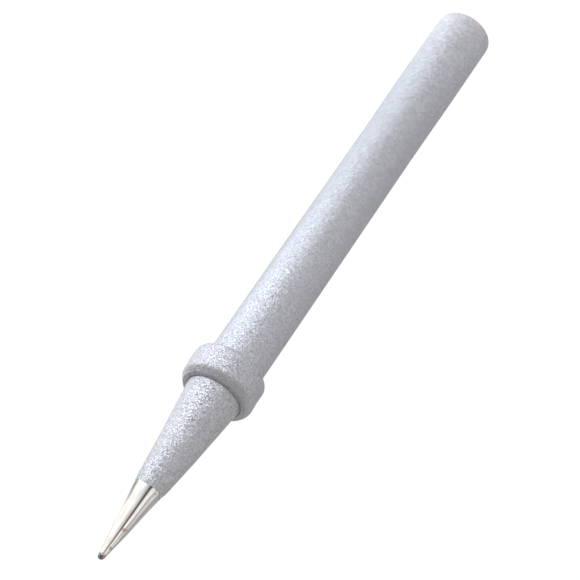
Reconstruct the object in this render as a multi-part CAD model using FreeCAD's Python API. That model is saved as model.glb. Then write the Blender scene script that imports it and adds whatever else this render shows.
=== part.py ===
import FreeCAD, Part
import math
import os

# A soldering iron tip, turned in one piece from a round bar: a long plain shank, a stop collar, and a
# long slim cone that ends in a small ball point. It stands on its flat back end, with the point up.
# Lengths are in millimetres. Z runs up the axis, and the origin is the centre of the back end.

# Shank: the straight rod that slides into the heater and takes its heat
shankDiameter = 5.5
shankLength = 47.4
backEndRounding = 0.76

# Collar: the stop that meets the mouth of the heater sleeve
collarDiameter = 7.27
collarLength = 3.35
collarBackRounding = 0.56

# Bevel round the collar's front edge, which runs into the collar's side in a soft curve
bevelLength = 0.45
bevelWidth = 0.42
bevelRounding = 1.0

# Relief groove left by the turning tool in the collar's front face, round the foot of the cone
reliefWidth = 0.06
reliefDepth = 0.1

# Coated cone: matt, from the collar to the edge of the coat, with a short steeper end
coneFootDiameter = 5.42
mainConeLength = 10.7
mainConeEndDiameter = 3.11
coatEndLength = 0.9
coatEndDiameter = 2.81
coatThickness = 0.03

# Tinned cone: bright solder that swells where it meets the coat, then a slight belly and a ball point
solderSwellLength = 1.65
solderSwellFootDiameter = 2.26
lowerBareConeLength = 2.9
bellyDiameter = 1.59
upperBareConeLength = 3.3
pointDiameter = 0.66

# Rounding of the places where the slope of the cone changes
slopeRounding = 25.0

# The share of a run that one rounding may take, halved where both ends of the run are rounded
roundingShare = 0.9


def vector(point):
    """A point of the half section, given as radius and height, in space."""
    return FreeCAD.Vector(point[0], 0, point[1])


def roomFor(points, radii, index):
    """The longest setback that a corner's rounding may take, from the runs on its two sides."""
    rooms = []
    for neighbour in (index - 1, index + 1):
        share = roundingShare / 2 if radii[neighbour] > 0 else roundingShare
        rooms.append(share * (points[neighbour] - points[index]).Length)
    return min(rooms)


def roundedCorner(before, corner, after, radius, room):
    """Start, middle and end of the arc that rounds a corner, tangent to the runs on its two sides."""
    arriving = (corner - before).normalize()
    leaving = (after - corner).normalize()
    halfTurn = arriving.getAngle(leaving) / 2
    setback = min(radius * math.tan(halfTurn), room)
    fittedRadius = setback / math.tan(halfTurn)
    inward = (leaving - arriving).normalize()
    cornerToArc = fittedRadius / math.cos(halfTurn) - fittedRadius
    return (
        corner - arriving * setback,
        corner + inward * cornerToArc,
        corner + leaving * setback,
    )


def halfSectionEdges(start, corners, end):
    """Straight runs from start to end through the corners, each rounded where it has a radius."""
    points = [vector(start)] + [vector(corner[:2]) for corner in corners] + [vector(end)]
    radii = [0] + [corner[2] for corner in corners] + [0]
    edges = []
    runStart = points[0]
    for index in range(1, len(points) - 1):
        if radii[index] == 0:
            edges.append(Part.LineSegment(runStart, points[index]).toShape())
            runStart = points[index]
            continue
        arcStart, arcMiddle, arcEnd = roundedCorner(
            points[index - 1], points[index], points[index + 1], radii[index], roomFor(points, radii, index)
        )
        edges.append(Part.LineSegment(runStart, arcStart).toShape())
        edges.append(Part.Arc(arcStart, arcMiddle, arcEnd).toShape())
        runStart = arcEnd
    edges.append(Part.LineSegment(runStart, points[-1]).toShape())
    return edges


def ballPoint(coneStart, topHeight, radius):
    """Where the cone's side touches the ball at the point, and the middle of the arc up to the top."""
    centreHeight = topHeight - radius
    reach = math.hypot(coneStart[0], coneStart[1] - centreHeight)
    towardsCone = math.atan2(coneStart[1] - centreHeight, coneStart[0])
    touchAngle = towardsCone + math.acos(radius / reach)
    middleAngle = (touchAngle + math.pi / 2) / 2
    touch, middle = (
        (radius * math.cos(angle), centreHeight + radius * math.sin(angle))
        for angle in (touchAngle, middleAngle)
    )
    return touch, middle


def turnedTip():
    """The whole tip, as its half section turned once round the axis."""
    shankRadius = shankDiameter / 2
    collarRadius = collarDiameter / 2
    coneFootRadius = coneFootDiameter / 2
    reliefRadius = coneFootRadius + reliefWidth
    coatRadius = coatEndDiameter / 2

    collarFront = shankLength + collarLength
    reliefFloor = collarFront - reliefDepth
    mainConeEnd = collarFront + mainConeLength
    coatEnd = mainConeEnd + coatEndLength
    swellEnd = coatEnd + solderSwellLength
    belly = swellEnd + lowerBareConeLength
    top = belly + upperBareConeLength

    touch, middle = ballPoint((bellyDiameter / 2, belly), top, pointDiameter / 2)
    corners = [
        (shankRadius, 0, backEndRounding),
        (shankRadius, shankLength, 0),
        (collarRadius, shankLength, collarBackRounding),
        (collarRadius, collarFront - bevelLength, bevelRounding),
        (collarRadius - bevelWidth, collarFront, 0),
        (reliefRadius, collarFront, 0),
        (reliefRadius, reliefFloor, 0),
        (coneFootRadius, reliefFloor, 0),
        (mainConeEndDiameter / 2, mainConeEnd, slopeRounding),
        (coatRadius, coatEnd, 0),
        (coatRadius - coatThickness, coatEnd, 0),
        (solderSwellFootDiameter / 2, swellEnd, slopeRounding),
        (bellyDiameter / 2, belly, slopeRounding),
    ]
    edges = halfSectionEdges((0, 0), corners, touch)
    edges.append(Part.Arc(vector(touch), vector(middle), vector((0, top))).toShape())
    edges.append(Part.LineSegment(vector((0, top)), vector((0, 0))).toShape())
    halfSection = Part.Face(Part.Wire(edges))
    return halfSection.revolve(FreeCAD.Vector(0, 0, 0), FreeCAD.Vector(0, 0, 1), 360)


os.makedirs("parts", exist_ok=True)
tip = turnedTip()
tip.exportStep("parts/soldering_tip.step")
print("length", round(tip.BoundBox.ZLength, 3), "mm, volume", round(tip.Volume, 1), "cubic mm")
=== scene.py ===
import math

import bpy
import numpy as np
from mathutils import Matrix, Vector, noise


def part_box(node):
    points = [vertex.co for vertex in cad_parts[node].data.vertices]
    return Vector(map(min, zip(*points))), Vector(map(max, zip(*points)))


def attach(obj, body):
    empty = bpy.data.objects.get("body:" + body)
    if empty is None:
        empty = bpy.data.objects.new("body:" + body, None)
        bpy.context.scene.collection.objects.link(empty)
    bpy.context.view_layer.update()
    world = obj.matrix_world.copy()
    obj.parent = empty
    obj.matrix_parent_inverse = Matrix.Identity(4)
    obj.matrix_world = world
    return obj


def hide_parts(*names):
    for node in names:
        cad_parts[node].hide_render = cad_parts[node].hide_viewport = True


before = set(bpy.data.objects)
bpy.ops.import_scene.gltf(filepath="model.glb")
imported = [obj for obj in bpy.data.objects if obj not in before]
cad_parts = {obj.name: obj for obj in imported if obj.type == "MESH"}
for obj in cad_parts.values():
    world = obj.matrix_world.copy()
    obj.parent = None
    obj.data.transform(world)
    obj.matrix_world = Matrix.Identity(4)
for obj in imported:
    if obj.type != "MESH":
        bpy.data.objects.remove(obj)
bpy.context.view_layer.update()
mm = 0.001     # lengths are written in millimetres, and Blender's are metres
tiny = 1e-6    # a length in mm or an angle in radians below this counts as none
tipNode = "soldering_tip"
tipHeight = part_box(tipNode)[1][2]
print("frame loaded, tip is", round(tipHeight / mm, 2), "mm tall")


def fromHex(code):
    # sRGB hex to the linear colour that the shaders want, by the sRGB curve
    parts = [int(code[i:i + 2], 16) / 255 for i in (1, 3, 5)]
    return tuple(c / 12.92 if c <= 0.04045 else ((c + 0.055) / 1.055) ** 2.4 for c in parts) + (1.0,)


def perMm(size):
    # texture scale for a pattern of that size in millimetres, on object coordinates in metres
    return 1 / (size * mm)


def addNode(tree, kind, inputs=None, **settings):
    # a socket given as an input is linked, anything else is set as the input's value
    node = tree.nodes.new(kind)
    for name, value in settings.items():
        setattr(node, name, value)
    for name, value in (inputs or {}).items():
        if isinstance(value, bpy.types.NodeSocket):
            tree.links.new(value, node.inputs[name])
        else:
            node.inputs[name].default_value = value
    return node


def newMaterial(name):
    material = bpy.data.materials.new(name)
    material.use_nodes = True
    material.node_tree.nodes.clear()
    return material, material.node_tree


def link(obj):
    bpy.context.scene.collection.objects.link(obj)
    return obj


# the turned shape, all in millimetres, from the back end up to the point
shape = dict(
    shankDiameter=5.5, shankLength=47.4, backEndRounding=0.76,
    tailDiameter=5.65, tailStraight=9.0, tailLength=17.0,
    collarDiameter=7.27, collarLength=3.35, collarBackRounding=0.56,
    bevelLength=0.44, bevelSlope=0.95, bevelOffset=0.18, bevelSoftness=0.11,
    reliefWidth=0.09, lipWidth=0.22, lipHeight=0.12,
    coneFootDiameter=5.42, mainConeLength=10.7, mainConeEndDiameter=3.11,
    coatEndLength=0.9, coatEndDiameter=2.81, coatThickness=0.03,
    solderSwellLength=1.65, solderSwellFootDiameter=2.26,
    lowerBareConeLength=2.9, bellyDiameter=1.59, pointDiameter=0.66,
    slopeRounding=25.0,
)
roundingShare = 0.9    # share of a run that one rounding may take, halved where both ends are rounded
fewestArcSteps = 4     # in a rounding, however small it is


def roundedRun(start, corners, end, step):
    # points along straight runs with rounded corners, no further apart than step
    points = [np.array(start, float)]
    path = [np.array(start, float)] + [np.array(c[:2], float) for c in corners] + [np.array(end, float)]

    def walkTo(target):
        gap = target - points[-1]
        count = max(1, math.ceil(np.linalg.norm(gap) / step))
        origin = points[-1]
        for k in range(1, count + 1):
            points.append(origin + gap * k / count)

    for i, (_, _, radius) in enumerate(corners, start=1):
        before, corner, after = path[i - 1], path[i], path[i + 1]
        arriving = (corner - before) / np.linalg.norm(corner - before)
        leaving = (after - corner) / np.linalg.norm(after - corner)
        halfTurn = math.acos(np.clip(arriving @ leaving, -1, 1)) / 2
        if radius == 0 or halfTurn < tiny:
            walkTo(corner)
            continue
        shares = []
        for k in (i - 1, i + 1):
            neighbourRounded = 0 < k <= len(corners) and corners[k - 1][2] > 0
            shares.append(roundingShare / 2 if neighbourRounded else roundingShare)
        room = min(shares[0] * np.linalg.norm(corner - before), shares[1] * np.linalg.norm(after - corner))
        setback = min(radius * math.tan(halfTurn), room)
        fitted = setback / math.tan(halfTurn)
        walkTo(corner - arriving * setback)
        inward = (leaving - arriving) / np.linalg.norm(leaving - arriving)
        centre = corner + inward * fitted / math.cos(halfTurn)
        first = points[-1] - centre
        side = np.sign(arriving[0] * leaving[1] - arriving[1] * leaving[0])
        count = max(fewestArcSteps, math.ceil(2 * halfTurn * fitted / step))
        for k in range(1, count + 1):
            turn = side * 2 * halfTurn * k / count
            c, s = math.cos(turn), math.sin(turn)
            points.append(centre + np.array([c * first[0] - s * first[1], s * first[0] + c * first[1]]))
    walkTo(path[-1])
    return np.array(points)


def revolve(name, outline, columns, shapeRow):
    # turns an outline that starts and ends on the axis; shapeRow moves each ring's points
    rings = outline[1:-1]
    angles = np.arange(columns) * 2 * math.pi / columns
    verts = [(0, 0, outline[0][1])]
    for radius, height in rings:
        verts.extend(shapeRow(radius, height, angles))
    verts.append((0, 0, outline[-1][1]))
    faces = []
    for column in range(columns):
        nextColumn = (column + 1) % columns
        faces.append((0, 1 + nextColumn, 1 + column))
        for ring in range(len(rings) - 1):
            low, high = 1 + ring * columns, 1 + (ring + 1) * columns
            faces.append((low + column, low + nextColumn, high + nextColumn, high + column))
        last = 1 + (len(rings) - 1) * columns
        faces.append((last + column, last + nextColumn, len(verts) - 1))
    mesh = bpy.data.meshes.new(name)
    mesh.from_pydata([tuple(c * mm for c in v) for v in verts], [], faces)
    mesh.update()
    mesh.shade_smooth()
    return link(bpy.data.objects.new(name, mesh))


collarFront = shape["shankLength"] + shape["collarLength"]
mainConeEnd = collarFront + shape["mainConeLength"]
coatEnd = mainConeEnd + shape["coatEndLength"]
swellEnd = coatEnd + shape["solderSwellLength"]
belly = swellEnd + shape["lowerBareConeLength"]
top = tipHeight / mm

# how far the turned axis strays sideways, as height and shift in millimetres: the shank runs out a
# little, the collar sits off it by the coat's uneven build, and the tip was bent in use
strays = (
    (12.0, 0.0), (46.0, -0.05), (47.39, -0.05), (47.41, 0.03), (49.0, 0.05), (50.7, -0.05),
    (50.8, -0.01), (57.5, -0.02), (63.0, 0.08), (70.2, 0.1),
)


def strayAt(height):
    if height <= strays[0][0]:
        return strays[0][1]
    for (low, shift), (high, nextShift) in zip(strays[:-1], strays[1:]):
        if height <= high:
            return shift + (nextShift - shift) * (height - low) / (high - low)
    return strays[-1][1]


# coated body: matt skin from the back end to the edge of the coat
coatedBody = dict(
    step=0.14,            # mm between rings
    bevelStep=0.05,       # mm between rings on the collar's front edge
    columns=128,
    grainSize=0.45,       # mm, the broader unevenness that the outline shows
    grainHeight=0.004,    # mm
    flatHeight=0.02,      # mm, below this the back end stays flat to stand on
    bevelZone=1.4,        # mm below the collar's front face, where the close rings start
    edgeBow=0.33,         # mm, how much further the coat's edge reaches in front than at the sides
    bowLead=0.2,          # share of that which lies past the section's own edge
    edgeWander=0.07,      # mm, how far it wanders from that
    edgeFray=0.04,        # mm
    edgeReach=1.2,        # mm of the cone below the edge that shift with it
    wanderTurns=2.1, wanderSpot=3.7,    # how quickly the wander changes, and where in the noise it is read
    frayTurns=9, fraySpot=8.2,
)


def bevelledRadius(height, angle):
    # the bevel was turned a little off centre, so it is wider in front, and it runs softly into the wall
    wall = shape["collarDiameter"] / 2
    bevelStart = collarFront - shape["bevelLength"]
    cone = wall - (height - bevelStart) * shape["bevelSlope"] + shape["bevelOffset"] * math.sin(angle)
    return wall - shape["bevelSoftness"] * math.log1p(math.exp((wall - cone) / shape["bevelSoftness"]))


def makeCoatedBody():
    shankRadius, tailRadius = shape["shankDiameter"] / 2, shape["tailDiameter"] / 2
    collarRadius = shape["collarDiameter"] / 2
    footRadius = shape["coneFootDiameter"] / 2
    reliefRadius = footRadius + shape["reliefWidth"]
    coatRadius = shape["coatEndDiameter"] / 2
    bevelZone = collarFront - coatedBody["bevelZone"]
    corners = [
        (tailRadius, 0, shape["backEndRounding"]),
        (tailRadius, shape["tailStraight"], 0),
        (shankRadius, shape["tailLength"], 0),
        (shankRadius, shape["shankLength"], 0),
        (collarRadius, shape["shankLength"], shape["collarBackRounding"]),
    ]
    back = roundedRun((0, 0), corners, (collarRadius, bevelZone), coatedBody["step"])
    edge = roundedRun((collarRadius, bevelZone), [], (collarRadius, collarFront), coatedBody["bevelStep"])
    lipTop = collarFront + shape["lipHeight"]
    corners = [
        (reliefRadius, lipTop, 0),    # a lip that the turning tool raised beside its relief groove
        (reliefRadius, collarFront, 0),
        (footRadius, collarFront, 0),
        (shape["mainConeEndDiameter"] / 2, mainConeEnd, shape["slopeRounding"]),
        (coatRadius, coatEnd, shape["coatThickness"]),
    ]
    lipFoot = (reliefRadius + shape["lipWidth"], collarFront)
    front = roundedRun(lipFoot, corners, (0, coatEnd), coatedBody["step"])
    outline = np.vstack([back, edge[1:], front])

    def shapeRow(radius, height, angles):
        nearEdge = max(0, 1 - (coatEnd - height) / coatedBody["edgeReach"]) ** 2
        flat = height < coatedBody["flatHeight"]
        onBevel = bevelZone < height and abs(radius - collarRadius) < tiny
        slow, quick = coatedBody["wanderTurns"], coatedBody["frayTurns"]
        for angle in angles:
            c, s = math.cos(angle), math.sin(angle)
            spot = Vector((radius * c, radius * s, height)) / coatedBody["grainSize"]
            lump = noise.noise(spot) * coatedBody["grainHeight"]
            turned = bevelledRadius(height, angle) if onBevel else radius
            wander = noise.noise(Vector((c * slow, s * slow, coatedBody["wanderSpot"])))
            fray = noise.noise(Vector((c * quick, s * quick, coatedBody["fraySpot"])))
            bow = coatedBody["bowLead"] - c * c
            edgeShift = wander * coatedBody["edgeWander"]
            edgeShift += fray * coatedBody["edgeFray"] + bow * coatedBody["edgeBow"]
            r = turned + (0 if flat else lump * min(1, radius))    # less lumpy near the axis
            yield r * c + strayAt(height), r * s, height + edgeShift * nearEdge

    return revolve("coatedBody", outline, coatedBody["columns"], shapeRow)


# tinned point: bright solder, from under the coat's edge to the ball at the tip
tinnedPoint = dict(
    step=0.07,
    columns=96,
    underlap=0.7,         # mm hidden under the coat
    underlapSlope=0.5,    # slope of that length, as a share of the swell's
    ballSteps=14,         # rings of the ball at the point
    waveSize=1.6,         # mm, slow waves left by wiping
    waveHeight=0.012,     # mm
    waveStretch=0.4,      # the smaller, the longer they run along the tip
    waveSpot=(5.1, 2.3, 0),    # where in the noise they are read
    waveOnset=0.25,       # share of the tip over which they grow to full height
    waveFade=0.5,         # mm from the axis within which they fade
)


def makeTinnedPoint():
    skin = shape["coatThickness"]
    pointRadius = shape["pointDiameter"] / 2
    centre = top - pointRadius
    bellyRadius = shape["bellyDiameter"] / 2
    reach = math.hypot(bellyRadius, belly - centre)
    touchAngle = math.atan2(belly - centre, bellyRadius) + math.acos(pointRadius / reach)
    touch = (pointRadius * math.cos(touchAngle), centre + pointRadius * math.sin(touchAngle))
    slope = (shape["coatEndDiameter"] - shape["solderSwellFootDiameter"]) / 2 / shape["solderSwellLength"]
    edgeRadius = shape["coatEndDiameter"] / 2 - skin
    startRadius = edgeRadius + slope * tinnedPoint["underlap"] * tinnedPoint["underlapSlope"]
    startHeight = coatEnd - tinnedPoint["underlap"]
    corners = [
        (startRadius, startHeight, 0),
        (edgeRadius, coatEnd, 0),
        (shape["solderSwellFootDiameter"] / 2, swellEnd, shape["slopeRounding"]),
        (bellyRadius, belly, shape["slopeRounding"]),
    ]
    outline = roundedRun((0, startHeight), corners, touch, tinnedPoint["step"])
    ball = [
        (pointRadius * math.cos(a), centre + pointRadius * math.sin(a))
        for a in np.linspace(touchAngle, math.pi / 2, tinnedPoint["ballSteps"])[1:]
    ]
    outline = np.vstack([outline, np.array(ball)])
    outline[-1][0] = 0

    def shapeRow(radius, height, angles):
        up = max(0, (height - coatEnd) / (top - coatEnd))
        grown = min(1, up / tinnedPoint["waveOnset"])
        along = height * tinnedPoint["waveStretch"]
        for angle in angles:
            c, s = math.cos(angle), math.sin(angle)
            spot = Vector((radius * c, radius * s, along)) / tinnedPoint["waveSize"]
            wave = noise.noise(spot + Vector(tinnedPoint["waveSpot"])) * tinnedPoint["waveHeight"] * grown
            r = radius + wave * min(1, radius / tinnedPoint["waveFade"])
            yield r * c + strayAt(height), r * s, height

    return revolve("tinnedPoint", outline, tinnedPoint["columns"], shapeRow)


body = makeCoatedBody()
point = makeTinnedPoint()
print("meshes made,", len(body.data.polygons), "and", len(point.data.polygons), "faces")


# aluminised coat, sprayed on and left rough: matt grey, with flakes that glint in the key light
coatFinish = dict(
    deep="#aba8ad", middle="#cac8cb", pale="#e8e6ea",
    flakeSize=0.061,      # mm, drawn a little coarser than the real flakes
    rearFlakeSize=0.24,   # mm, at the back end, where the coat was sprayed thicker
    flakeTilt=0.76,       # how far a flake leans out of the surface
    flakeTint=0.06,       # share of a colour of its own, so that the glints aren't all one grey
    strewSize=0.2, strewReach=0.3,       # mm, shifts the flakes about, so that they lie in no rows
    grainSize=0.07, grainDepth=0.012,    # mm
    grainDetail=1.0,
    flakeHeights=(5, 36),    # mm, between them the flakes turn from the rear ones to the fine ones
    rearCalm=0.24,        # share of the grain that is left at the back end
    calmHeights=(16, 50),    # mm, between them it grows to the whole
    rimCalm=0.6,          # share that is left on the collar's front edge, which handling has rubbed
    rimDepth=0.3,         # mm from the collar's front face down to the middle of that edge
    rimReach=(0.2, 0.4),  # mm from that middle, between them the grain grows back
    metallic=0.5, flakeRoughness=0.42, rearRoughness=0.52,
    roughHeights=(10, 55),    # mm, between them the rear's roughness turns to the flakes'
)


def aluminisedCoat():
    material, tree = newMaterial("sprayedAluminisedCoat")
    place = addNode(tree, "ShaderNodeTexCoord").outputs["Object"]
    height = addNode(tree, "ShaderNodeSeparateXYZ", {"Vector": place}).outputs["Z"]

    # strength of the grain: calmer towards the back end and on the collar's rubbed edge
    sprayed = addNode(tree, "ShaderNodeMapRange", {
        "Value": height, "From Min": coatFinish["calmHeights"][0] * mm,
        "From Max": coatFinish["calmHeights"][1] * mm, "To Min": coatFinish["rearCalm"],
    }).outputs["Result"]
    fromRim = addNode(tree, "ShaderNodeMath", {
        0: height, 1: (collarFront - coatFinish["rimDepth"]) * mm,
    }, operation="SUBTRACT")
    rimGap = addNode(tree, "ShaderNodeMath", {0: fromRim.outputs[0]}, operation="ABSOLUTE")
    rubbed = addNode(tree, "ShaderNodeMapRange", {
        "Value": rimGap.outputs[0], "From Min": coatFinish["rimReach"][0] * mm,
        "From Max": coatFinish["rimReach"][1] * mm, "To Min": coatFinish["rimCalm"],
    })
    strength = addNode(tree, "ShaderNodeMath", {
        0: sprayed, 1: rubbed.outputs[0],
    }, operation="MULTIPLY").outputs[0]

    # flakes: fine ones, strewn about by noise, that give way to the rear's coarser ones
    strew = addNode(tree, "ShaderNodeTexNoise", {"Vector": place, "Scale": perMm(coatFinish["strewSize"])})
    shift = addNode(tree, "ShaderNodeVectorMath", {
        0: strew.outputs["Color"], "Scale": coatFinish["strewReach"] * mm,
    }, operation="SCALE")
    strewn = addNode(tree, "ShaderNodeVectorMath", {0: place, 1: shift.outputs["Vector"]}, operation="ADD")
    fine = addNode(tree, "ShaderNodeTexVoronoi", {
        "Vector": strewn.outputs["Vector"], "Scale": perMm(coatFinish["flakeSize"]),
    })
    coarse = addNode(tree, "ShaderNodeTexVoronoi", {
        "Vector": place, "Scale": perMm(coatFinish["rearFlakeSize"]),
    })
    forward = addNode(tree, "ShaderNodeMapRange", {
        "Value": height, "From Min": coatFinish["flakeHeights"][0] * mm,
        "From Max": coatFinish["flakeHeights"][1] * mm,
    })
    flakes = addNode(tree, "ShaderNodeMixRGB", {
        "Fac": forward.outputs["Result"],
        "Color1": coarse.outputs["Color"], "Color2": fine.outputs["Color"],
    })
    grain = addNode(tree, "ShaderNodeTexNoise", {
        "Vector": place, "Scale": perMm(coatFinish["grainSize"]), "Detail": coatFinish["grainDetail"],
    })

    # colour: each flake has its tone of grey and a trace of a tint
    tone = addNode(tree, "ShaderNodeSeparateColor", {"Color": flakes.outputs["Color"]}).outputs["Red"]
    tones = addNode(tree, "ShaderNodeValToRGB", {"Fac": tone})
    stops = tones.color_ramp.elements
    stops[0].color, stops[1].color = fromHex(coatFinish["deep"]), fromHex(coatFinish["pale"])
    stops.new(0.5).color = fromHex(coatFinish["middle"])
    calmed = addNode(tree, "ShaderNodeMixRGB", {
        "Fac": strength, "Color1": fromHex(coatFinish["middle"]), "Color2": tones.outputs["Color"],
    })
    tinted = addNode(tree, "ShaderNodeMixRGB", {
        "Fac": coatFinish["flakeTint"],
        "Color1": calmed.outputs["Color"], "Color2": flakes.outputs["Color"],
    }, blend_type="OVERLAY")

    # each flake leans its own way, over the bump of the grain, and only a middle grey stays level
    bump = addNode(tree, "ShaderNodeBump", {
        "Height": grain.outputs["Fac"], "Distance": coatFinish["grainDepth"] * mm, "Strength": strength,
    })
    lean = addNode(tree, "ShaderNodeVectorMath", {
        0: flakes.outputs["Color"], 1: (0.5, 0.5, 0.5),
    }, operation="SUBTRACT")
    leanAmount = addNode(tree, "ShaderNodeMath", {
        0: strength, 1: coatFinish["flakeTilt"],
    }, operation="MULTIPLY")
    leaned = addNode(tree, "ShaderNodeVectorMath", {
        0: lean.outputs["Vector"], "Scale": leanAmount.outputs[0],
    }, operation="SCALE")
    turned = addNode(tree, "ShaderNodeVectorMath", {
        0: bump.outputs["Normal"], 1: leaned.outputs["Vector"],
    }, operation="ADD")
    normal = addNode(tree, "ShaderNodeVectorMath", {0: turned.outputs["Vector"]}, operation="NORMALIZE")
    roughness = addNode(tree, "ShaderNodeMapRange", {
        "Value": height, "From Min": coatFinish["roughHeights"][0] * mm,
        "From Max": coatFinish["roughHeights"][1] * mm,
        "To Min": coatFinish["rearRoughness"], "To Max": coatFinish["flakeRoughness"],
    })
    shader = addNode(tree, "ShaderNodeBsdfPrincipled", {
        "Base Color": tinted.outputs["Color"], "Metallic": coatFinish["metallic"],
        "Roughness": roughness.outputs["Result"], "Normal": normal.outputs["Vector"],
    })
    addNode(tree, "ShaderNodeOutputMaterial", {"Surface": shader.outputs["BSDF"]})
    return material


# tinned iron, wiped while molten: bright and nearly a mirror, with a painted shadow of the coat's edge
# where it meets the coat, brown specks of baked flux, and a crust of flux on the ball; angles are in
# degrees from the front, and plus is the lit side
solderFinish = dict(
    # the dark grey-brown #7d7672 is painted shadow under the coat's edge, on the shaded side
    bright="#e6e2de", streak="#d2cdc8", coatEdgeShadow="#7d7672", dullPatch="#8e9088", speck="#b09a8e",
    crustPale="#c6bdb7", crustDark="#75695f",
    streakSize=0.25,      # mm across the streaks left by wiping, which run along the tip
    streakStretch=0.06,   # the smaller, the longer they are drawn out
    streakShares=(0.35, 0.7),    # of the noise, between them one shade turns to the other
    streakDetail=2.0,
    coatEdgeShadowReach=1.3,        # mm that the painted shadow reaches from the coat's edge towards the point
    coatEdgeShadowLap=0.05,         # mm that it starts under that edge
    coatEdgeShadowAngles=(34, 12), coatEdgeShadowShares=(0.42, 0.72),    # between them the painted shadow grows to its full cover, and the angles keep it off the lit side
    raggedSize=0.3,       # mm, the unevenness of the painted shadow and of the crust's edge
    raggedDetail=3.0,
    patchAngles=(48, 64), patchHeights=(65.2, 62.9),    # a dull patch at the lit side, heights in mm
    specks=((67.0, -18, 0.25), (66.8, -36, 0.15), (69.0, -22, 0.2)),    # height in mm, angle, radius in mm
    speckFray=0.2, speckFraySize=0.12,    # mm
    speckCore=0.5,        # share of the radius that is brown all through
    crustStart=0.42,      # mm below the top
    crustEdge=0.2, crustWander=0.25, mottleSize=0.16,    # mm
    mottleShares=(0.4, 0.6),     # of the noise, between them dark turns to pale
    mottleDetail=2.0,
    roughness=0.12, crustRoughness=0.45,
)


def speckPlace(height, angle):
    # on the skin of the tinned cone, in mm, between its belly and its point
    narrowing = (shape["bellyDiameter"] - shape["pointDiameter"]) / 2 / (top - belly)
    across = shape["bellyDiameter"] / 2 - (height - belly) * narrowing
    return across * math.sin(math.radians(angle)), -across * math.cos(math.radians(angle)), height


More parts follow.
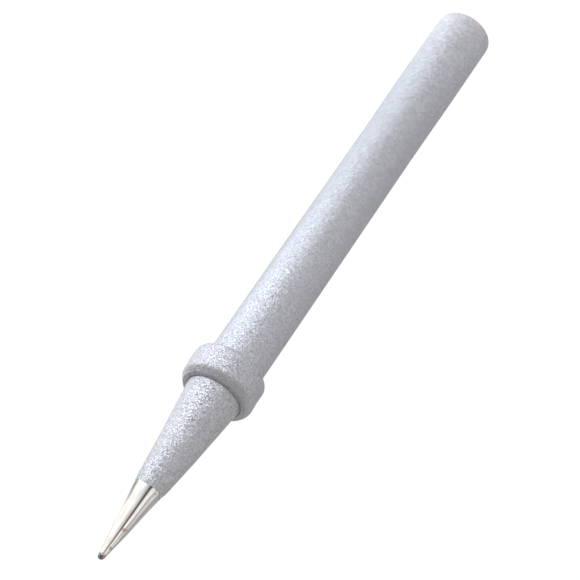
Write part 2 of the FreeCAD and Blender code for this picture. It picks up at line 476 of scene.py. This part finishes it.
def wipedSolder():
    material, tree = newMaterial("wipedSolder")
    place = addNode(tree, "ShaderNodeTexCoord").outputs["Object"]
    axes = addNode(tree, "ShaderNodeSeparateXYZ", {"Vector": place}).outputs
    height = axes["Z"]
    front = addNode(tree, "ShaderNodeMath", {0: axes["Y"], 1: -1.0}, operation="MULTIPLY").outputs[0]
    angle = addNode(tree, "ShaderNodeMath", {0: axes["X"], 1: front}, operation="ARCTAN2").outputs[0]
    ragged = addNode(tree, "ShaderNodeTexNoise", {
        "Vector": place, "Scale": perMm(solderFinish["raggedSize"]), "Detail": solderFinish["raggedDetail"],
    }).outputs["Fac"]

    # streaks: bright metal in two shades, drawn out along the tip
    stretched = addNode(tree, "ShaderNodeMapping", {
        "Vector": place, "Scale": (1, 1, solderFinish["streakStretch"]),
    })
    streaks = addNode(tree, "ShaderNodeTexNoise", {
        "Vector": stretched.outputs["Vector"], "Scale": perMm(solderFinish["streakSize"]),
        "Detail": solderFinish["streakDetail"],
    })
    streakCover = addNode(tree, "ShaderNodeMapRange", {
        "Value": streaks.outputs["Fac"], "From Min": solderFinish["streakShares"][0],
        "From Max": solderFinish["streakShares"][1],
    }, interpolation_type="SMOOTHSTEP").outputs["Result"]

    # painted shadow under the coat's edge: darkest at the edge, gone a little further on and on the lit
    # side
    edge = (coatEnd - solderFinish["coatEdgeShadowLap"]) * mm
    shadowFalloff = addNode(tree, "ShaderNodeMapRange", {
        "Value": height, "From Min": edge + solderFinish["coatEdgeShadowReach"] * mm, "From Max": edge,
    }, interpolation_type="SMOOTHSTEP").outputs["Result"]
    shaded = addNode(tree, "ShaderNodeMapRange", {
        "Value": angle, "From Min": math.radians(solderFinish["coatEdgeShadowAngles"][0]),
        "From Max": math.radians(solderFinish["coatEdgeShadowAngles"][1]),
    }, interpolation_type="SMOOTHSTEP").outputs["Result"]
    uneven = addNode(tree, "ShaderNodeMath", {0: shadowFalloff, 1: ragged}, operation="MULTIPLY").outputs[0]
    spread = addNode(tree, "ShaderNodeMath", {0: uneven, 1: shaded}, operation="MULTIPLY").outputs[0]
    coatEdgeShadow = addNode(tree, "ShaderNodeMapRange", {
        "Value": spread, "From Min": solderFinish["coatEdgeShadowShares"][0],
        "From Max": solderFinish["coatEdgeShadowShares"][1],
    }, interpolation_type="SMOOTHSTEP").outputs["Result"]

    # dull patch: grows towards the lit side and fades towards the point
    sideways = addNode(tree, "ShaderNodeMapRange", {
        "Value": angle, "From Min": math.radians(solderFinish["patchAngles"][0]),
        "From Max": math.radians(solderFinish["patchAngles"][1]),
    }, interpolation_type="SMOOTHSTEP").outputs["Result"]
    lengthways = addNode(tree, "ShaderNodeMapRange", {
        "Value": height, "From Min": solderFinish["patchHeights"][0] * mm,
        "From Max": solderFinish["patchHeights"][1] * mm,
    }, interpolation_type="SMOOTHSTEP").outputs["Result"]
    patch = addNode(tree, "ShaderNodeMath", {0: sideways, 1: lengthways}, operation="MULTIPLY").outputs[0]

    # specks: the nearness to each place, measured from spots that noise has moved, for ragged edges
    fray = addNode(tree, "ShaderNodeTexNoise", {
        "Vector": place, "Scale": perMm(solderFinish["speckFraySize"]),
    })
    shift = addNode(tree, "ShaderNodeVectorMath", {
        0: fray.outputs["Color"], "Scale": solderFinish["speckFray"] * mm,
    }, operation="SCALE")
    moved = addNode(tree, "ShaderNodeVectorMath", {0: place, 1: shift.outputs["Vector"]}, operation="ADD")
    speck = 0.0
    for speckHeight, degrees, size in solderFinish["specks"]:
        spot = [(c + solderFinish["speckFray"] / 2) * mm for c in speckPlace(speckHeight, degrees)]
        gap = addNode(tree, "ShaderNodeVectorMath", {
            0: moved.outputs["Vector"], 1: spot,
        }, operation="DISTANCE")
        near = addNode(tree, "ShaderNodeMapRange", {
            "Value": gap.outputs["Value"], "From Min": size * mm,
            "From Max": size * solderFinish["speckCore"] * mm,
        }, interpolation_type="SMOOTHSTEP").outputs["Result"]
        speck = addNode(tree, "ShaderNodeMath", {0: speck, 1: near}, operation="MAXIMUM").outputs[0]

    # crust: baked on over the ball, mottled pale and dark
    wander = addNode(tree, "ShaderNodeMath", {
        0: ragged, 1: solderFinish["crustWander"] * mm,
    }, operation="MULTIPLY").outputs[0]
    uneven = addNode(tree, "ShaderNodeMath", {0: height, 1: wander}, operation="ADD").outputs[0]
    crustFoot = top - solderFinish["crustStart"]
    crust = addNode(tree, "ShaderNodeMapRange", {
        "Value": uneven, "From Min": crustFoot * mm,
        "From Max": (crustFoot + solderFinish["crustEdge"]) * mm,
    }, interpolation_type="SMOOTHSTEP").outputs["Result"]
    mottle = addNode(tree, "ShaderNodeTexNoise", {
        "Vector": place, "Scale": perMm(solderFinish["mottleSize"]), "Detail": solderFinish["mottleDetail"],
    })
    mottled = addNode(tree, "ShaderNodeMapRange", {
        "Value": mottle.outputs["Fac"], "From Min": solderFinish["mottleShares"][0],
        "From Max": solderFinish["mottleShares"][1],
    }, interpolation_type="SMOOTHSTEP").outputs["Result"]
    crustColour = addNode(tree, "ShaderNodeMixRGB", {
        "Fac": mottled,
        "Color1": fromHex(solderFinish["crustDark"]), "Color2": fromHex(solderFinish["crustPale"]),
    }).outputs["Color"]

    # each layer over the last, from the bare metal up
    colour = fromHex(solderFinish["bright"])
    layers = (
        (streakCover, fromHex(solderFinish["streak"])),
        # painted shadow under the coat's edge
        (coatEdgeShadow, fromHex(solderFinish["coatEdgeShadow"])),
        (patch, fromHex(solderFinish["dullPatch"])),
        (speck, fromHex(solderFinish["speck"])),
        (crust, crustColour),
    )
    for cover, layer in layers:
        colour = addNode(tree, "ShaderNodeMixRGB", {
            "Fac": cover, "Color1": colour, "Color2": layer,
        }).outputs["Color"]
    dull = addNode(tree, "ShaderNodeMapRange", {
        "Value": crust, "To Min": solderFinish["roughness"], "To Max": solderFinish["crustRoughness"],
    }).outputs["Result"]
    shader = addNode(tree, "ShaderNodeBsdfPrincipled", {
        "Base Color": colour, "Metallic": 1.0, "Roughness": dull,
    })
    addNode(tree, "ShaderNodeOutputMaterial", {"Surface": shader.outputs["BSDF"]})
    return material


body.data.materials.append(aluminisedCoat())
point.data.materials.append(wipedSolder())
for piece, slot in ((body, "matt_coat"), (point, "bright_solder")):
    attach(piece, "root")
    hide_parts(tipNode)
print("materials on")


# camera: looks down at the standing tip from the point's side, rolled as the photograph shows it
camera = dict(
    elevation=31.634, roll=145.373,    # degrees
    distance=231.14, lens=154.62, sensorWidth=36,    # mm
    aim=(-0.242, 0, 37.0),    # mm, where the middle of the picture meets the axis
    clip=(10, 5000),          # mm
)


def makeCamera():
    elevation, roll = math.radians(camera["elevation"]), math.radians(camera["roll"])
    back = Vector((0, -math.cos(elevation), math.sin(elevation)))
    right = Vector((1, 0, 0))
    up = back.cross(right)
    tiltedUp = up * math.cos(roll) + right * math.sin(roll)
    tiltedRight = tiltedUp.cross(back)
    data = bpy.data.cameras.new("photoCamera")
    data.lens, data.sensor_width = camera["lens"], camera["sensorWidth"]
    data.clip_start, data.clip_end = (c * mm for c in camera["clip"])
    obj = link(bpy.data.objects.new("photoCamera", data))
    turn = Matrix((tiltedRight, tiltedUp, back)).transposed()
    spot = Vector(camera["aim"]) * mm + back * camera["distance"] * mm
    obj.matrix_world = Matrix.Translation(spot) @ turn.to_4x4()
    bpy.context.scene.camera = obj


makeCamera()
print("camera placed")

# studio: a pale floor, a low softbox at one side, two soft panels on the table, a room that darkens
# upwards, and a screen of cards that only gloss sees; lengths in mm, angles in degrees from the front
studio = dict(
    floorSize=1600, floorColour="#e9e9e9",
    floorGlow=0.7,        # lifts the floor to white where it is seen directly
    heelGlow=2.4, heelReach=14, heelSpot=(5, 1, 0),    # glow of the floor by the back end
    horizonLevel=0.86, zenithLevel=0.2,
    lightColour="#e3f0ff",
    keyRadiance=24.4, keyAngle=67, keyDistance=120, keyWidth=210, keyHeight=8, keyFoot=1,
    panelRadiance=0.47, panelAngle=101, panelStart=2.5, panelLength=250, panelWidth=60,
    fillRadiance=0.22, fillAngle=-70, fillStart=4, fillLength=120, fillWidth=125,
    panelLift=0.5,        # of both panels over the floor
    screenRadius=135, screenSides=72, bandHeight=62, bandFoot=84,
    cardLift=0.3,         # of the cards that lie on the table
    cardHole=0.5,         # radius left open round the axis
    # height that each ring of the screen reaches, and its grey
    rings=((110, 0.6), (200, 0.35)), lidLevel=0.3,
    # brightness of the cards round the screen, by angle, where minus is the lit side
    cards=((-180, 1.2), (-138, 1.2), (-118, 1.1), (-100, 1.4), (-42, 1.4), (-32, 1.25), (-20, 0.95),
           (-8, 0.75), (0, 0.5), (4, 0.07), (12, 0.07), (16, 0.4), (20, 0.95), (28, 1.2), (44, 1.2),
           (48, 0.68), (64, 0.62), (68, 0.92), (84, 0.88), (90, 0.5), (104, 0.45), (122, 0.5),
           (136, 0.55), (180, 0.55)),
    tableCards=((-180, 0.5), (40, 0.45), (90, 0.32), (178, 0.32), (180, 0.5)),
)


def seenDirectly(tree):
    # 1 for rays that show the background itself: camera, glossy and transmission
    ray = addNode(tree, "ShaderNodeLightPath").outputs
    either = addNode(tree, "ShaderNodeMath", {
        0: ray["Is Camera Ray"], 1: ray["Is Glossy Ray"],
    }, operation="MAXIMUM").outputs[0]
    return addNode(tree, "ShaderNodeMath", {
        0: either, 1: ray["Is Transmission Ray"],
    }, operation="MAXIMUM").outputs[0]


def makeRoom():
    world = bpy.data.worlds.new("studioRoom")
    world.use_nodes = True
    tree = world.node_tree
    tree.nodes.clear()
    height = addNode(tree, "ShaderNodeSeparateXYZ", {
        "Vector": addNode(tree, "ShaderNodeTexCoord").outputs["Generated"],
    }).outputs["Z"]
    dimmed = addNode(tree, "ShaderNodeMapRange", {
        "Value": height, "To Min": studio["horizonLevel"], "To Max": studio["zenithLevel"],
    })
    level = addNode(tree, "ShaderNodeMapRange", {
        "Value": seenDirectly(tree), "To Min": dimmed.outputs["Result"],
    })
    background = addNode(tree, "ShaderNodeBackground", {
        "Strength": level.outputs["Result"], "Color": (1, 1, 1, 1),
    })
    addNode(tree, "ShaderNodeOutputWorld", {"Surface": background.outputs["Background"]})
    bpy.context.scene.world = world


def makeFloor():
    material, tree = newMaterial("paleFloor")
    # a spot of the floor that glows lights the rounded back end, and only diffuse rays see it
    gap = addNode(tree, "ShaderNodeVectorMath", {
        0: addNode(tree, "ShaderNodeNewGeometry").outputs["Position"],
        1: [c * mm for c in studio["heelSpot"]],
    }, operation="DISTANCE").outputs["Value"]
    heel = addNode(tree, "ShaderNodeMapRange", {
        "Value": gap, "From Min": studio["heelReach"] * mm, "From Max": 0.0, "To Max": studio["heelGlow"],
    }).outputs["Result"]
    glow = addNode(tree, "ShaderNodeMapRange", {
        "Value": seenDirectly(tree), "To Min": heel, "To Max": studio["floorGlow"],
    })
    diffuse = addNode(tree, "ShaderNodeBsdfDiffuse", {"Color": fromHex(studio["floorColour"])})
    emission = addNode(tree, "ShaderNodeEmission", {"Strength": glow.outputs[0]})
    both = addNode(tree, "ShaderNodeAddShader", {0: diffuse.outputs[0], 1: emission.outputs[0]})
    addNode(tree, "ShaderNodeOutputMaterial", {"Surface": both.outputs[0]})
    material.cycles.emission_sampling = "NONE"
    half = studio["floorSize"] / 2 * mm
    corners = [(-half, -half, 0), (half, -half, 0), (half, half, 0), (-half, half, 0)]
    mesh = bpy.data.meshes.new("floor")
    mesh.from_pydata(corners, [], [(0, 1, 2, 3)])
    mesh.materials.append(material)
    link(bpy.data.objects.new("floor", mesh))


def makePanel(name, radiance, width, height, place, facing):
    # an area light of that radiance, which the camera doesn't see
    data = bpy.data.lights.new(name, "AREA")
    data.shape = "RECTANGLE"
    data.color = fromHex(studio["lightColour"])[:3]
    data.size, data.size_y = width * mm, height * mm
    data.energy = radiance * math.pi * data.size * data.size_y
    panel = link(bpy.data.objects.new(name, data))
    panel.location = place * mm
    panel.rotation_euler = facing.to_euler()
    panel.visible_camera = False


def towards(name):
    angle = math.radians(studio[name + "Angle"])
    return Vector((math.sin(angle), -math.cos(angle), 0))


def makeSoftbox(name):
    # stands on the table and faces the tip
    away = towards(name)
    width, height = studio[name + "Width"], studio[name + "Height"]
    place = away * studio[name + "Distance"] + Vector((0, 0, height / 2 + studio[name + "Foot"]))
    facing = away.to_track_quat("Z", "Y")
    makePanel(name + "Softbox", studio[name + "Radiance"], width, height, place, facing)


def makeTablePanel(name):
    # lies on the table, from the back end outwards, and shines upwards
    away = towards(name)
    across = Vector((0, 0, 1)).cross(away)
    turn = Matrix((away, -across, Vector((0, 0, -1)))).transposed()
    length, width = studio[name + "Length"], studio[name + "Width"]
    place = away * (studio[name + "Start"] + length / 2) + Vector((0, 0, studio["panelLift"]))
    makePanel(name + "OnTable", studio[name + "Radiance"], length, width, place, turn.to_quaternion())


def cardMaterial(name, colour):
    # a card that glows evenly, seen by gloss alone
    material, tree = newMaterial(name)
    glow = addNode(tree, "ShaderNodeEmission", {"Color": colour(tree), "Strength": 1.0})
    addNode(tree, "ShaderNodeOutputMaterial", {"Surface": glow.outputs[0]})
    material.cycles.emission_sampling = "NONE"
    return material


def tonesByAngle(tree, cards):
    # greys by the angle round the axis, where the first and last card meet behind
    place = addNode(tree, "ShaderNodeNewGeometry").outputs["Position"]
    axes = addNode(tree, "ShaderNodeSeparateXYZ", {"Vector": place}).outputs
    left, front = (
        addNode(tree, "ShaderNodeMath", {0: axes[k], 1: -1.0}, operation="MULTIPLY").outputs[0]
        for k in "XY"
    )
    angle = addNode(tree, "ShaderNodeMath", {0: left, 1: front}, operation="ARCTAN2").outputs[0]
    share = addNode(tree, "ShaderNodeMapRange", {"Value": angle, "From Min": -math.pi, "From Max": math.pi})
    tones = addNode(tree, "ShaderNodeValToRGB", {"Fac": share.outputs["Result"]})
    stops = tones.color_ramp.elements
    for degrees, level in cards[1:-1]:
        stops.new((degrees + 180) / 360)
    for stop, (degrees, level) in zip(stops, cards):
        stop.color = (level, level, level, 1)
    return tones.outputs["Color"]


def makeCards(name, material, profile):
    # a ring of cards, turned from a profile of radius and height in mm
    sides = studio["screenSides"]
    verts, faces = [], []
    for k in range(sides):
        a = 2 * math.pi * k / sides
        verts += [(r * mm * math.cos(a), r * mm * math.sin(a), z * mm) for r, z in profile]
    count = len(profile)
    for k in range(sides):
        here, there = k * count, (k + 1) % sides * count
        faces += [(here + j, here + j + 1, there + j + 1, there + j) for j in range(count - 1)]
    mesh = bpy.data.meshes.new(name)
    mesh.from_pydata(verts, [], faces)
    mesh.materials.append(material)
    cards = link(bpy.data.objects.new(name, mesh))
    cards.visible_camera = cards.visible_diffuse = cards.visible_shadow = False


def greyCard(name, level, profile):
    makeCards(name, cardMaterial(name, lambda tree: (level, level, level, 1)), profile)


def makeScreen():
    radius, low = studio["screenRadius"], studio["bandHeight"]
    foot, lift, hole = studio["bandFoot"], studio["cardLift"], studio["cardHole"]
    tones = cardMaterial("tableCards", lambda tree: tonesByAngle(tree, studio["tableCards"]))
    makeCards("tableCards", tones, [(hole, lift), (foot, lift)])
    tones = cardMaterial("cardBand", lambda tree: tonesByAngle(tree, studio["cards"]))
    makeCards("cardBand", tones, [(foot, lift), (radius, lift), (radius, low)])
    for high, level in studio["rings"]:
        greyCard("greyRing", level, [(radius, low), (radius, high)])
        low = high
    greyCard("screenLid", studio["lidLevel"], [(radius, low), (hole, low)])


makeRoom()
makeFloor()
makeSoftbox("key")
makeTablePanel("panel")
makeTablePanel("fill")
makeScreen()
bpy.context.scene.view_settings.view_transform = "Standard"
print("studio ready")
